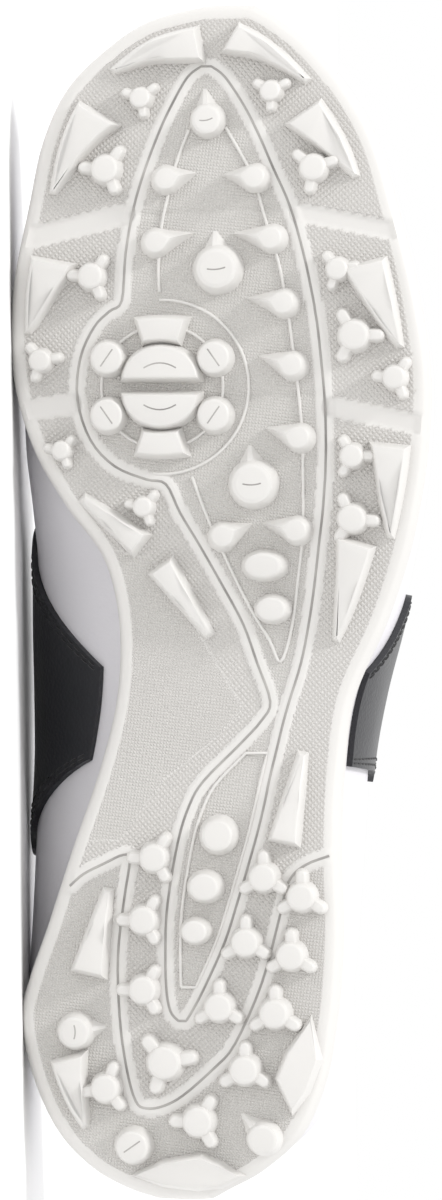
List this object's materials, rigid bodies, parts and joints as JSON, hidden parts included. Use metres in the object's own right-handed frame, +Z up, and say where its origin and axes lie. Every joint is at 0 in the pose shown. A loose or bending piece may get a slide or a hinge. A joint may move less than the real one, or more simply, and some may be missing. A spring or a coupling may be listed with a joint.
{
  "type": "turf shoe",
  "caption": "Low-cut left turf shoe with a studded rubber sole, white leather upper, dark side panels, tongue, insole and laces.",
  "frame": {"origin": "centre of the lying shoe's box, at the floor", "axes": "+Z up with the shoe on its medial side, toe to -X, sole facing -Y, lateral side up"},
  "size_m": [0.288, 0.1128, 0.1011],
  "materials": {
    "sole_rubber": "moulded, satin",
    "upper_leather": "smooth, coated",
    "insole_foam": "brushed cloth over foam",
    "tongue_fabric": "coated cloth",
    "lace_fabric": "flat braid",
    "panel_leather": "smooth, satin"
  },
  "bodies": {
    "root": {"outsole": "sole_rubber", "upper": "upper_leather", "insole": "insole_foam", "tongue": "tongue_fabric", "laces": "lace_fabric", "medial_panel": "panel_leather", "lateral_panel": "panel_leather"}
  },
  "joints": []
}
